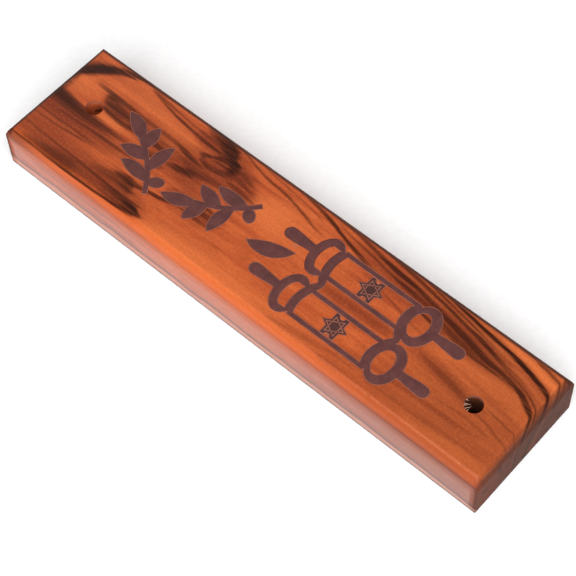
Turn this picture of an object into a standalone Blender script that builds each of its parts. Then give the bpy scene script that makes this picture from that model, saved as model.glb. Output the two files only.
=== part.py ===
"""Mezuzah case: an olive-wood block with filler inlays, a dovetailed back cover and its scroll.

The case lies on its back. +Y points to its top end, +X to its right side and +Z out of its
front. The origin is the middle of the back face. Lengths are in metres.
"""
import math

import bmesh
import bpy
from mathutils import Vector

# Case block.
CASE_LENGTH = 0.115
CASE_WIDTH = 0.027
CASE_THICKNESS = 0.011
FRONT_CHAMFER = 0.0013

# Nail holes, drilled by hand and so a little off the centre line.
HOLE_RADIUS = 0.00175
TOP_HOLE = (0.0011, 0.0476)
BOTTOM_HOLE = (-0.0019, -0.0473)

# Dovetail channel in the back. It is open at the top end.
CHANNEL_BLIND_END = -0.043
CHANNEL_DEPTH = 0.0024
CHANNEL_MOUTH_HALF = 0.0066
DOVETAIL_SLOPE = 0.75

# Scroll cavity above the channel, cut with a round-nosed cutter.
CAVITY_HALF_LENGTH = 0.040
CAVITY_RADIUS = 0.0035
CAVITY_ROOF = 0.0086

# Sliding cover.
COVER_GAP = 0.0003
COVER_THICKNESS = 0.0018
THUMB_NOTCH_Y = 0.034
THUMB_NOTCH_RADIUS = 0.006
THUMB_NOTCH_DEPTH = 0.0007
THUMB_NOTCH_LENGTH = 0.008

# Rolled parchment.
SCROLL_RADIUS = 0.0028
SCROLL_CORE_RADIUS = 0.0009
SCROLL_SHEET = 0.0002
SCROLL_LENGTH = 0.070
SCROLL_CENTRE_HEIGHT = 0.0053
SCROLL_END_GAP = 0.0005

# Filler inlays in engraved pockets.
POCKET_DEPTH = 0.0006
INLAY_SINK = 0.0001
INLAY_GAP = 0.00015

# Twin-scroll ornament.
ROLL_AXES = (-0.0057, 0.0042)
UPPER_BAND_Y = -0.0101
UPPER_BAND_RISE = 0.0006
LOWER_BAND_Y = -0.0273
LOWER_BAND_RISE = 0.0009
BAND_DIP = 0.0008
BAND_HALF = 0.0008
BAND_DIP_HALF = 0.0006
SIDE_LINE_OFFSET = 0.00305
SIDE_LINE_HALF = 0.0004
CAP_Y = -0.0083
CAP_FOOT_Y = -0.0105
CAP_OUTER = (0.0045, 0.0029)
CAP_INNER = (0.0029, 0.0013)
CAP_END_ANGLE = math.radians(38)
RING_OUTER_Y = -0.0307
RING_OUTER = (0.00455, 0.0032)
RING_INNER_Y = -0.0302
RING_INNER = (0.0029, 0.00185)
HANDLE_LENGTH = 0.0069
HANDLE_NECK_HALF = 0.0008
HANDLE_KNOB_RADIUS = 0.0012
UPPER_HANDLE_Y = -0.0059
LOWER_HANDLE_Y = -0.0333

# Star and strap in the middle of each roll.
STAR_Y = -0.01905
STAR_RADIUS = 0.00265
STRAP_HALF_WIDTH = 0.0024
STRAP_HALF_HEIGHT = 0.0014
STRAP_NOTCH_RADIUS = 0.0007

# Olive twigs and the single leaf: start, end and sideways bow of each stem.
TWIG_STEM_HALF = 0.00045
TWIG_LEAF_WIDTH = 0.0027
TWIG_LEAF_BOW = 1 / 18
TWIG_LEAF_ANGLE = math.radians(47)
TWIG_LEAF_STEPS = (2, 4, 6, 8)
TWIG_LEAF_LENGTHS = (0.0074, 0.0070, 0.0062, 0.0054)
TWIG_END_LEAF_LENGTH = 0.0066
TWIG_OLIVE_STEP = 2
OLIVE_RADII = (0.0016, 0.00115)
UPPER_TWIG = ((-0.0070, 0.0265), (0.0018, 0.0358), -0.0009)
LOWER_TWIG = ((0.0050, 0.0078), (-0.0024, 0.0182), 0.0009)
LONE_LEAF = ((0.0012, -0.0036), (-0.0022, 0.0052), 0.0007)
LONE_LEAF_WIDTH = 0.0031

# Fineness of the round stretches.
ARC_STEPS = 10
BAND_STEPS = 48
NOTCH_STEPS = 6
HOLE_STEPS = 36
ROLL_STEPS = 48

# Cutters reach this far past the face that they cut through.
CUT_PAST = 0.001
WELD_DISTANCE = 0.000002
SMOOTH_ANGLE = math.radians(30)


def clear_scene():
    """Removes every object that is already in the scene."""
    for existing in list(bpy.data.objects):
        bpy.data.objects.remove(existing, do_unlink=True)


def new_collection(name):
    collection = bpy.data.collections.new(name)
    bpy.context.scene.collection.children.link(collection)
    return collection


def make_material(name, colour, roughness):
    """A Principled material with one colour."""
    material = bpy.data.materials.new(name)
    material.use_nodes = True
    shader = material.node_tree.nodes["Principled BSDF"]
    shader.inputs["Base Color"].default_value = (*colour, 1.0)
    shader.inputs["Roughness"].default_value = roughness
    shader.inputs["Metallic"].default_value = 0.0
    return material


def add_mesh_object(name, mesh, collection):
    obj = bpy.data.objects.new(name, mesh)
    collection.objects.link(obj)
    return obj


def mark_as_guide(obj):
    """Cutters and union pieces are only tools."""
    obj.hide_render = True
    obj.display_type = "WIRE"


def add_boolean(obj, operation, other):
    modifier = obj.modifiers.new(other.name, "BOOLEAN")
    modifier.operation = operation
    modifier.solver = "EXACT"
    modifier.object = other


# ---------------------------------------------------------------- flat shapes
# A shape is a list of loops. Each loop is a list of points with the material on its left.

def ellipse_points(centre, radii, start, end, steps):
    """Points from one angle to another on an ellipse, both ends included."""
    points = []
    for step in range(steps + 1):
        angle = start + (end - start) * step / steps
        points.append((centre[0] + radii[0] * math.cos(angle), centre[1] + radii[1] * math.sin(angle)))
    return points


def grown_loop(loop, distance):
    """The loop moved by distance to its right, away from its material, corners kept."""
    moved = []
    for index, place in enumerate(loop):
        here = Vector(place)
        before = (here - Vector(loop[index - 1])).normalized()
        after = (Vector(loop[(index + 1) % len(loop)]) - here).normalized()
        mitre = Vector((before.y + after.y, -before.x - after.x))
        mitre /= max(mitre.length_squared / 2, 0.5)
        moved.append(tuple(here + mitre * distance))
    return moved


def ribbon_loop(points, half_widths):
    """A closed loop around a line of points, with a half width at each point."""
    right = []
    left = []
    for index, place in enumerate(points):
        ahead = Vector(points[min(index + 1, len(points) - 1)])
        behind = Vector(points[max(index - 1, 0)])
        along = (ahead - behind).normalized()
        across = Vector((along.y, -along.x)) * half_widths[index]
        right.append(tuple(Vector(place) + across))
        left.append(tuple(Vector(place) - across))
    return right + left[::-1]


def bowed_line(start, end, bow, steps):
    """Points from start to end, pushed to the left by up to bow in the middle."""
    origin = Vector(start)
    run = Vector(end) - origin
    sideways = Vector((-run.y, run.x)).normalized()
    points = []
    for step in range(steps + 1):
        part = step / steps
        points.append(tuple(origin + run * part + sideways * bow * 4 * part * (1 - part)))
    return points


def leaf_shape(start, end, width, bow):
    """A slim leaf with a point at each end."""
    points = bowed_line(start, end, bow, ARC_STEPS)
    half_widths = []
    for step in range(ARC_STEPS + 1):
        half_widths.append(width / 2 * math.sin(math.pi * step / ARC_STEPS) ** 0.8)
    loop = ribbon_loop(points, half_widths)
    side = ARC_STEPS + 1
    return [loop[:side] + loop[side + 1:-1]]


def turned(direction, angle):
    """A flat direction turned to its left by an angle."""
    return Vector((direction.x * math.cos(angle) - direction.y * math.sin(angle),
                   direction.x * math.sin(angle) + direction.y * math.cos(angle)))


def twig_shapes(stem, first_side):
    """A bowed stem with leaves on alternate sides, an end leaf and one olive, all overlapping."""
    start, end, bow = stem
    line = [Vector(point) for point in bowed_line(start, end, bow, ARC_STEPS)]
    shapes = [[ribbon_loop(line, [TWIG_STEM_HALF] * len(line))]]
    side = first_side
    for step, length in zip(TWIG_LEAF_STEPS, TWIG_LEAF_LENGTHS):
        along = (line[step + 1] - line[step - 1]).normalized()
        heading = turned(along, side * TWIG_LEAF_ANGLE)
        root = line[step] - heading * TWIG_STEM_HALF / 2
        tip = line[step] + heading * length
        shapes.append(leaf_shape(root, tip, TWIG_LEAF_WIDTH, -side * length * TWIG_LEAF_BOW))
        side = -side
    last_run = (line[-1] - line[-2]).normalized()
    root = line[-1] - last_run * 2 * TWIG_STEM_HALF
    tip = line[-1] + last_run * TWIG_END_LEAF_LENGTH
    shapes.append(leaf_shape(root, tip, TWIG_LEAF_WIDTH, bow / 2))
    first_run = (line[TWIG_OLIVE_STEP] - line[0]).normalized()
    hang = turned(first_run, -first_side * math.pi / 2)
    drop = OLIVE_RADII[0] + TWIG_STEM_HALF / 3
    shapes.append(olive_shape(line[TWIG_OLIVE_STEP] + hang * drop, hang))
    return shapes


def olive_shape(centre, along):
    """A small oval whose long way lies in a given direction."""
    across = turned(along, math.pi / 2)
    loop = []
    oval = ellipse_points((0, 0), OLIVE_RADII, 0, math.tau, 2 * ARC_STEPS)[:-1]
    for long_part, short_part in oval:
        loop.append(tuple(centre + along * long_part + across * short_part))
    return [loop]


def band_shape(crest_y, rise):
    """A band that arches over each roll and dips between them."""
    first = ROLL_AXES[0] - SIDE_LINE_OFFSET
    last = ROLL_AXES[1] + SIDE_LINE_OFFSET
    middle = (first + last) / 2
    half_space = middle - ROLL_AXES[0] - SIDE_LINE_OFFSET
    points = []
    half_widths = []
    for step in range(BAND_STEPS + 1):
        x = first + (last - first) * step / BAND_STEPS
        from_axis = min(abs(x - axis_x) for axis_x in ROLL_AXES)
        arch = min(from_axis / SIDE_LINE_OFFSET, 1.0) ** 2
        from_middle = min(abs(x - middle) / half_space, 1.0)
        dip = (1 + math.cos(math.pi * from_middle)) / 2
        points.append((x, crest_y - rise * arch - BAND_DIP * dip))
        half_widths.append(BAND_HALF + (BAND_DIP_HALF - BAND_HALF) * dip)
    return [ribbon_loop(points, half_widths)]


def side_line_shape(x):
    """One long edge of a roll's parchment."""
    low = LOWER_BAND_Y - LOWER_BAND_RISE
    high = UPPER_BAND_Y - UPPER_BAND_RISE
    return [[(x - SIDE_LINE_HALF, low), (x + SIDE_LINE_HALF, low),
             (x + SIDE_LINE_HALF, high), (x - SIDE_LINE_HALF, high)]]


def cap_shape(axis_x):
    """The open arc over the upper end of a roll."""
    centre = (axis_x, CAP_Y)
    start = -CAP_END_ANGLE
    end = math.pi + CAP_END_ANGLE
    outer = ellipse_points(centre, CAP_OUTER, start, end, 2 * ARC_STEPS)
    inner = ellipse_points(centre, CAP_INNER, math.pi, 0.0, 2 * ARC_STEPS)
    left_foot = (axis_x - CAP_INNER[0], CAP_FOOT_Y)
    right_foot = (axis_x + CAP_INNER[0], CAP_FOOT_Y)
    return [outer + [left_foot] + inner + [right_foot]]


def ring_shape(axis_x):
    """The oval ring at the lower end of a roll."""
    outer = ellipse_points((axis_x, RING_OUTER_Y), RING_OUTER, 0, math.tau, 3 * ARC_STEPS)[:-1]
    inner = ellipse_points((axis_x, RING_INNER_Y), RING_INNER, 0, -math.tau, 3 * ARC_STEPS)[:-1]
    return [outer, inner]


def handle_shape(axis_x, root_y, direction):
    """A roller handle: a neck that swells into a round knob."""
    knob_y = HANDLE_LENGTH - HANDLE_KNOB_RADIUS
    swell = HANDLE_KNOB_RADIUS - HANDLE_NECK_HALF
    right = []
    for step in range(ARC_STEPS):
        part = step / ARC_STEPS
        right.append((HANDLE_NECK_HALF + swell * (1 - math.cos(math.pi * part)) / 2, knob_y * part))
    knob = ellipse_points((0, knob_y), (HANDLE_KNOB_RADIUS,) * 2, 0, math.pi, ARC_STEPS)
    left = [(-x, y) for x, y in right[::-1]]
    loop = [(axis_x + direction * x, root_y + direction * y) for x, y in right + knob + left]
    return [loop]


def scroll_motif_shapes():
    """Both rolls with their handles, caps, rings, bands and side lines."""
    shapes = [band_shape(UPPER_BAND_Y, UPPER_BAND_RISE), band_shape(LOWER_BAND_Y, LOWER_BAND_RISE)]
    for axis_x in ROLL_AXES:
        shapes.append(cap_shape(axis_x))
        shapes.append(ring_shape(axis_x))
        shapes.append(handle_shape(axis_x, UPPER_HANDLE_Y, 1))
        shapes.append(handle_shape(axis_x, LOWER_HANDLE_Y, -1))
        shapes.append(side_line_shape(axis_x - SIDE_LINE_OFFSET))
        shapes.append(side_line_shape(axis_x + SIDE_LINE_OFFSET))
    return shapes


def star_shapes(axis_x):
    """A six-pointed star on a short strap with a round notch in each end."""
    star = []
    for step in range(12):
        angle = math.pi / 2 + step * math.pi / 6
        radius = STAR_RADIUS if step % 2 == 0 else STAR_RADIUS / math.sqrt(3)
        star.append((axis_x + radius * math.cos(angle), STAR_Y + radius * math.sin(angle)))
    notch = (STRAP_NOTCH_RADIUS, STRAP_NOTCH_RADIUS)
    right_end = (axis_x + STRAP_HALF_WIDTH, STAR_Y)
    left_end = (axis_x - STRAP_HALF_WIDTH, STAR_Y)
    right = ellipse_points(right_end, notch, 1.5 * math.pi, 0.5 * math.pi, NOTCH_STEPS)
    left = ellipse_points(left_end, notch, 0.5 * math.pi, -0.5 * math.pi, NOTCH_STEPS)
    corners = [(axis_x + side * STRAP_HALF_WIDTH, STAR_Y + level * STRAP_HALF_HEIGHT)
               for side, level in ((-1, -1), (1, -1), (1, 1), (-1, 1))]
    strap = corners[:2] + right + corners[2:] + left
    return [[star], [strap]]


# ---------------------------------------------------------------- solids

def prism(name, shape, low, high, collection):
    """A flat shape standing from one height to another, as a closed mesh."""
    curve = bpy.data.curves.new(name, "CURVE")
    curve.dimensions = "2D"
    curve.fill_mode = "BOTH"
    curve.extrude = (high - low) / 2
    for loop in shape:
        spline = curve.splines.new("POLY")
        spline.points.add(len(loop) - 1)
        spline.use_cyclic_u = True
        for point, (x, y) in zip(spline.points, loop):
            point.co = (x, y, 0.0, 1.0)
    outline = bpy.data.objects.new(name + "_outline", curve)
    outline.location.z = (low + high) / 2
    collection.objects.link(outline)
    bpy.context.view_layer.update()
    evaluated = outline.evaluated_get(bpy.context.evaluated_depsgraph_get())
    mesh = bpy.data.meshes.new_from_object(evaluated)
    obj = add_mesh_object(name, mesh, collection)
    obj.matrix_world = outline.matrix_world
    weld_and_orient(mesh)
    bpy.data.objects.remove(outline)
    return obj


def weld_and_orient(mesh):
    """Joins a prism's caps to its walls, turns its faces out and shades its round sides smooth."""
    shell = bmesh.new()
    shell.from_mesh(mesh)
    bmesh.ops.remove_doubles(shell, verts=shell.verts, dist=WELD_DISTANCE)
    bmesh.ops.recalc_face_normals(shell, faces=shell.faces)
    shell.to_mesh(mesh)
    shell.free()
    mesh.materials.clear()
    mesh.shade_smooth()
    mesh.set_sharp_from_angle(angle=SMOOTH_ANGLE)


def joined_prism(name, shapes, low, high, grow, collection, guides):
    """One solid from several overlapping shapes, each grown outwards by grow."""
    pieces = []
    for index, shape in enumerate(shapes):
        grown = [grown_loop(loop, grow) for loop in shape]
        home = guides if index else collection
        piece_name = f"{name}_stroke_{index}" if index else name
        pieces.append(prism(piece_name, grown, low, high, home))
    for stroke in pieces[1:]:
        mark_as_guide(stroke)
        add_boolean(pieces[0], "UNION", stroke)
    return pieces[0]


def block(name, low, high, collection):
    """A box between two corners."""
    shell = bmesh.new()
    bmesh.ops.create_cube(shell, size=1.0)
    size = Vector(high) - Vector(low)
    middle = (Vector(high) + Vector(low)) / 2
    bmesh.ops.scale(shell, vec=size, verts=shell.verts)
    bmesh.ops.translate(shell, vec=middle, verts=shell.verts)
    mesh = bpy.data.meshes.new(name)
    shell.to_mesh(mesh)
    shell.free()
    return add_mesh_object(name, mesh, collection)


def drill(name, place, collection):
    """An upright cylinder right through the case, used to cut a nail hole."""
    depth = CASE_THICKNESS + 2 * CUT_PAST
    shell = bmesh.new()
    bmesh.ops.create_cone(shell, cap_ends=True, segments=HOLE_STEPS,
                          radius1=HOLE_RADIUS, radius2=HOLE_RADIUS, depth=depth)
    mesh = bpy.data.meshes.new(name)
    shell.to_mesh(mesh)
    shell.free()
    mesh.shade_smooth()
    mesh.set_sharp_from_angle(angle=SMOOTH_ANGLE)
    cutter = add_mesh_object(name, mesh, collection)
    cutter.location = (place[0], place[1], CASE_THICKNESS / 2)
    mark_as_guide(cutter)
    return cutter


def along_y(obj, start, end):
    """Stands a prism's cross-section up, so that it runs along Y from start to end."""
    obj.rotation_euler = (math.pi / 2, 0.0, 0.0)
    obj.location = (0.0, (start + end) / 2, 0.0)


def cross_section(name, loops, start, end, collection):
    """A solid with a constant section in X and Z, from one Y to another."""
    half = (end - start) / 2
    obj = prism(name, loops, -half, half, collection)
    along_y(obj, start, end)
    return obj


def dovetail_section(low, high, shrink):
    """A trapezoid that is widest inside the block, shrunk sideways to leave a sliding gap."""
    low_half = CHANNEL_MOUTH_HALF + DOVETAIL_SLOPE * low - shrink
    high_half = CHANNEL_MOUTH_HALF + DOVETAIL_SLOPE * high - shrink
    return [[(-low_half, low), (low_half, low), (high_half, high), (-high_half, high)]]


def channel_cutter(guides):
    """The dovetail channel, from its blind end to past the top end of the block."""
    section = dovetail_section(-CUT_PAST, CHANNEL_DEPTH, 0.0)
    past_top = CASE_LENGTH / 2 + CUT_PAST
    cutter = cross_section("channel_cutter", section, CHANNEL_BLIND_END, past_top, guides)
    mark_as_guide(cutter)
    return cutter


def cavity_cutter(guides):
    """A slot with a round roof, which starts inside the channel."""
    arc_centre = CAVITY_ROOF - CAVITY_RADIUS
    arc = ellipse_points((0.0, arc_centre), (CAVITY_RADIUS,) * 2, 0, math.pi, 2 * ARC_STEPS)
    floor = CHANNEL_DEPTH / 2
    section = [(-CAVITY_RADIUS, floor), (CAVITY_RADIUS, floor)] + arc
    start = -CAVITY_HALF_LENGTH
    cutter = cross_section("cavity_cutter", [section], start, CAVITY_HALF_LENGTH, guides)
    mark_as_guide(cutter)
    return cutter


def case_body(material, collection, guides):
    """The block with chamfered front edges, holes, channel and cavity. Its pockets come later."""
    low = (-CASE_WIDTH / 2, -CASE_LENGTH / 2, 0.0)
    high = (CASE_WIDTH / 2, CASE_LENGTH / 2, CASE_THICKNESS)
    body = block("case_body", low, high, collection)
    shell = bmesh.new()
    shell.from_mesh(body.data)
    front_edges = []
    for edge in shell.edges:
        if min(vert.co.z for vert in edge.verts) > CASE_THICKNESS / 2:
            front_edges.append(edge)
    bmesh.ops.bevel(shell, geom=front_edges, offset=FRONT_CHAMFER, segments=1, profile=0.5, affect="EDGES")
    shell.to_mesh(body.data)
    shell.free()
    body.data.materials.append(material)
    add_boolean(body, "DIFFERENCE", channel_cutter(guides))
    add_boolean(body, "DIFFERENCE", cavity_cutter(guides))
    add_boolean(body, "DIFFERENCE", drill("top_hole_cutter", TOP_HOLE, guides))
    add_boolean(body, "DIFFERENCE", drill("bottom_hole_cutter", BOTTOM_HOLE, guides))
    return body


def back_cover(material, collection, guides):
    """The dovetailed strip that closes the back, with a nail hole and a thumb notch."""
    side_gap = COVER_GAP * math.hypot(1.0, DOVETAIL_SLOPE)
    start = CHANNEL_BLIND_END + COVER_GAP
    end = CASE_LENGTH / 2 - COVER_GAP
    section = dovetail_section(COVER_GAP, COVER_GAP + COVER_THICKNESS, side_gap)
    cover = cross_section("back_cover", section, start, end, collection)
    cover.data.materials.append(material)
    add_boolean(cover, "DIFFERENCE", drill("cover_hole_cutter", TOP_HOLE, guides))
    notch_arc = ellipse_points((0.0, 0.0), (THUMB_NOTCH_RADIUS,) * 2, 0, math.tau, ROLL_STEPS)[:-1]
    half = THUMB_NOTCH_LENGTH / 2
    notch = prism("thumb_notch_cutter", [notch_arc], -half, half, guides)
    notch.rotation_euler = (0.0, math.pi / 2, 0.0)
    notch.location = (0.0, THUMB_NOTCH_Y, COVER_GAP + THUMB_NOTCH_DEPTH - THUMB_NOTCH_RADIUS)
    mark_as_guide(notch)
    add_boolean(cover, "DIFFERENCE", notch)
    return cover


def parchment_scroll(material, collection):
    """The rolled sheet: one outer turn that ends in a step, around an open core."""
    outer = []
    inner = []
    for step in range(ROLL_STEPS + 1):
        part = step / ROLL_STEPS
        across = math.cos(math.tau * part)
        up = math.sin(math.tau * part)
        outer_radius = SCROLL_RADIUS - SCROLL_SHEET * part
        inner_radius = SCROLL_CORE_RADIUS + SCROLL_SHEET * part
        outer.append((outer_radius * across, SCROLL_CENTRE_HEIGHT + outer_radius * up))
        inner.append((inner_radius * across, SCROLL_CENTRE_HEIGHT - inner_radius * up))
    start = -CAVITY_HALF_LENGTH + SCROLL_END_GAP
    scroll = cross_section("parchment_scroll", [outer, inner], start, start + SCROLL_LENGTH, collection)
    scroll.data.materials.append(material)
    return scroll


def inlay(name, shapes, material, body, collection, guides):
    """A filler inlay, and the pocket that it sits in, cut in the front of the case."""
    floor = CASE_THICKNESS - POCKET_DEPTH
    top = CASE_THICKNESS - INLAY_SINK
    filler = joined_prism(name, shapes, floor + INLAY_GAP, top, 0.0, collection, guides)
    filler.data.materials.append(material)
    above = CASE_THICKNESS + CUT_PAST
    pocket = joined_prism(name + "_pocket", shapes, floor, above, INLAY_GAP, guides, guides)
    mark_as_guide(pocket)
    add_boolean(body, "DIFFERENCE", pocket)


def build():
    clear_scene()
    parts = new_collection("mezuzah_case")
    guides = new_collection("cutters")
    wood = make_material("olive_wood", (0.55, 0.19, 0.06), 0.3)
    cover_wood = make_material("cover_wood", (0.50, 0.22, 0.09), 0.5)
    parchment = make_material("parchment", (0.82, 0.74, 0.58), 0.8)
    filler = make_material("filler", (0.12, 0.05, 0.05), 0.6)

    body = case_body(wood, parts, guides)
    back_cover(cover_wood, parts, guides)
    parchment_scroll(parchment, parts)

    start, end, bow = LONE_LEAF
    inlay("upper_twig_inlay", twig_shapes(UPPER_TWIG, 1), filler, body, parts, guides)
    inlay("lower_twig_inlay", twig_shapes(LOWER_TWIG, -1), filler, body, parts, guides)
    inlay("leaf_inlay", [leaf_shape(start, end, LONE_LEAF_WIDTH, bow)], filler, body, parts, guides)
    inlay("scroll_motif_inlay", scroll_motif_shapes(), filler, body, parts, guides)
    for name, axis_x in zip(("star_inlay_left", "star_inlay_right"), ROLL_AXES):
        inlay(name, star_shapes(axis_x), filler, body, parts, guides)


build()
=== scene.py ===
"""An olive-wood mezuzah case with dark inlays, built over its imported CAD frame."""

import math

import bmesh
import bpy
from mathutils import Matrix, Vector


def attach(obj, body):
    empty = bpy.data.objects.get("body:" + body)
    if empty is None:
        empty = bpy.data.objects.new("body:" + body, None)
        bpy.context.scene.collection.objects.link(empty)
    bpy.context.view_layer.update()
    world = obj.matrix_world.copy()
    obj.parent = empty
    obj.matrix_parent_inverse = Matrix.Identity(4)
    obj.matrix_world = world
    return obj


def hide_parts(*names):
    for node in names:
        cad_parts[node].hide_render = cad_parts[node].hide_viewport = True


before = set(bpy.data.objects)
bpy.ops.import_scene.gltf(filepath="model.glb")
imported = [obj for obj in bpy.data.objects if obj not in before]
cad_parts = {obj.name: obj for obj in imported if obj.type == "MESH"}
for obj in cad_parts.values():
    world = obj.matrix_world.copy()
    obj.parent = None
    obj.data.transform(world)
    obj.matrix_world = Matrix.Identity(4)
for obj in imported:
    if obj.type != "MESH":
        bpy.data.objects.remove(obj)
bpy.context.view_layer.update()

MM = 0.001

# The block, in millimetres: half sizes, height, and the width of its front chamfer.
HALF_WIDTH = 13.5
HALF_LENGTH = 57.5
TOP = 11.0
CHAMFER = 1.3
POCKET_FLOOR = 10.4
CHANNEL_TOP = 2.4
# How wide the softened edges are: under the chamfer, around the front face, and around the back.
SHOULDER_WIDTH = 0.95
CREASE_WIDTH = 0.4
FOOT_WIDTH = 0.25
# A corner this close to a face lies on it.
NEAR = 0.02
# Faces that meet at less than FLAT_ANGLE are one face, and at more than EDGE_ANGLE make an edge.
FLAT_ANGLE = math.radians(0.5)
EDGE_ANGLE = math.radians(25)
CASE_SHARP_ANGLE = math.radians(32)
PIECE_SHARP_ANGLE = math.radians(30)
WELD_DISTANCE = 0.001
# The fillers' top, how much wider they are than the CAD's, and their rim as (step in, step down).
FILLER_TOP = 10.95
FILLER_GROWTH = 0.13
FILLER_RIM = ((0.0, 0.06), (0.03, 0.02), (0.12, 0.0))
# At a sharp corner an outline grows by up to 1 / MITRE_LIMIT times as much as on its sides.
MITRE_LIMIT = 0.6
LOWER_HOLE = (-1.9, -47.3)


# ---------------------------------------------------------------- material formulas

class Field:
    """A value that varies over a surface. Formulas on fields make math nodes."""

    def __init__(self, graph, socket):
        self.graph = graph
        self.socket = socket

    def __add__(self, other):
        return self.graph.math("ADD", self, other)

    def __radd__(self, other):
        return self.graph.math("ADD", other, self)

    def __sub__(self, other):
        return self.graph.math("SUBTRACT", self, other)

    def __rsub__(self, other):
        return self.graph.math("SUBTRACT", other, self)

    def __mul__(self, other):
        return self.graph.math("MULTIPLY", self, other)

    def __truediv__(self, other):
        return self.graph.math("DIVIDE", self, other)


class Graph:
    """A new material, and short calls that add nodes to it."""

    def __init__(self, name):
        self.material = bpy.data.materials.new(name)
        self.material.use_nodes = True
        self.tree = self.material.node_tree
        self.tree.nodes.clear()
        place = self.add("ShaderNodeTexCoord").outputs["Object"]
        scaled = self.add("ShaderNodeVectorMath", operation="SCALE")
        self.tree.links.new(place, scaled.inputs[0])
        scaled.inputs["Scale"].default_value = 1 / MM
        parts = self.add("ShaderNodeSeparateXYZ")
        self.tree.links.new(scaled.outputs[0], parts.inputs[0])
        self.x, self.y, self.z = [Field(self, socket) for socket in parts.outputs]

    def add(self, kind, **settings):
        node = self.tree.nodes.new(kind)
        for name, value in settings.items():
            setattr(node, name, value)
        return node

    def feed(self, socket, value):
        if isinstance(value, Field):
            self.tree.links.new(value.socket, socket)
        elif isinstance(value, bpy.types.NodeSocket):
            self.tree.links.new(value, socket)
        else:
            socket.default_value = value

    def math(self, operation, first, second=0.0):
        node = self.add("ShaderNodeMath", operation=operation)
        for socket, value in zip(node.inputs, (first, second)):
            self.feed(socket, value)
        return Field(self, node.outputs[0])

    def vector(self, x, y, z):
        node = self.add("ShaderNodeCombineXYZ")
        for socket, value in zip(node.inputs, (x, y, z)):
            self.feed(socket, value)
        return node.outputs[0]

    def noise(self, x, y, z, detail=2.0, roughness=0.5):
        """Smooth noise from about 0.2 to 0.8, one swing per unit."""
        node = self.add("ShaderNodeTexNoise")
        self.feed(node.inputs["Vector"], self.vector(x, y, z))
        node.inputs["Scale"].default_value = 1.0
        node.inputs["Detail"].default_value = detail
        node.inputs["Roughness"].default_value = roughness
        return Field(self, node.outputs[0])

    def ramp(self, value, low, high, to_low=0.0, to_high=1.0):
        """A smooth step from to_low, where value is low, to to_high, where it is high."""
        node = self.add("ShaderNodeMapRange", interpolation_type="SMOOTHSTEP")
        for socket, number in zip(node.inputs, (value, low, high, to_low, to_high)):
            self.feed(socket, number)
        return Field(self, node.outputs[0])

    def mix(self, amount, first, second):
        """The first colour with the second laid over it."""
        node = self.add("ShaderNodeMix", data_type="RGBA")
        self.feed(node.inputs[0], amount)
        for socket, value in zip(node.inputs[6:8], (first, second)):
            self.feed(socket, tuple(value) + (1.0,) if isinstance(value, tuple) else value)
        return node.outputs[2]

    def curves(self, position, rows):
        """Three smooth curves over position, from 0 to 1. Each row is (position, a, b, c)."""
        node = self.add("ShaderNodeRGBCurve")
        node.mapping.extend = "HORIZONTAL"
        for channel in range(3):
            points = node.mapping.curves[channel].points
            points[0].location = (rows[0][0], rows[0][channel + 1])
            points[1].location = (rows[-1][0], rows[-1][channel + 1])
            for row in rows[1:-1]:
                points.new(row[0], row[channel + 1])
        node.mapping.update()
        self.feed(node.inputs["Color"], self.vector(position, position, position))
        parts = self.add("ShaderNodeSeparateXYZ")
        self.feed(parts.inputs[0], node.outputs[0])
        return [Field(self, socket) for socket in parts.outputs]

    def absolute(self, value):
        """A value without its sign."""
        return self.math("ABSOLUTE", value)

    def larger(self, first, second):
        """The larger of two values."""
        return self.math("MAXIMUM", first, second)

    def bump(self, height, strength, distance):
        node = self.add("ShaderNodeBump")
        node.inputs["Strength"].default_value = strength
        node.inputs["Distance"].default_value = distance
        self.feed(node.inputs["Height"], height)
        return node.outputs[0]

    def surface(self, **inputs):
        """Ends the material in one Principled shader with these inputs."""
        shader = self.add("ShaderNodeBsdfPrincipled")
        for name, value in inputs.items():
            socket = shader.inputs[name.replace("_", " ")]
            if isinstance(value, tuple):
                value = value + (1.0,)
            self.feed(socket, value)
        output = self.add("ShaderNodeOutputMaterial")
        self.tree.links.new(shader.outputs[0], output.inputs[0])
        return self.material


def colour(red, green, blue):
    """A colour given as it looks on a screen, from 0 to 255."""
    values = []
    for part in (red, green, blue):
        part = part / 255
        values.append(part / 12.92 if part <= 0.04045 else ((part + 0.055) / 1.055) ** 2.4)
    return tuple(values)


# ---------------------------------------------------------------- olive wood

# A band of grain, painted shade or painted sheen is written as (y, x, half width, strength) from
# top to bottom, in millimetres.
SPAN_X = 40.0
SPAN_WIDTH = 8.0
SPAN_Y = 2.2 * HALF_LENGTH

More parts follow.
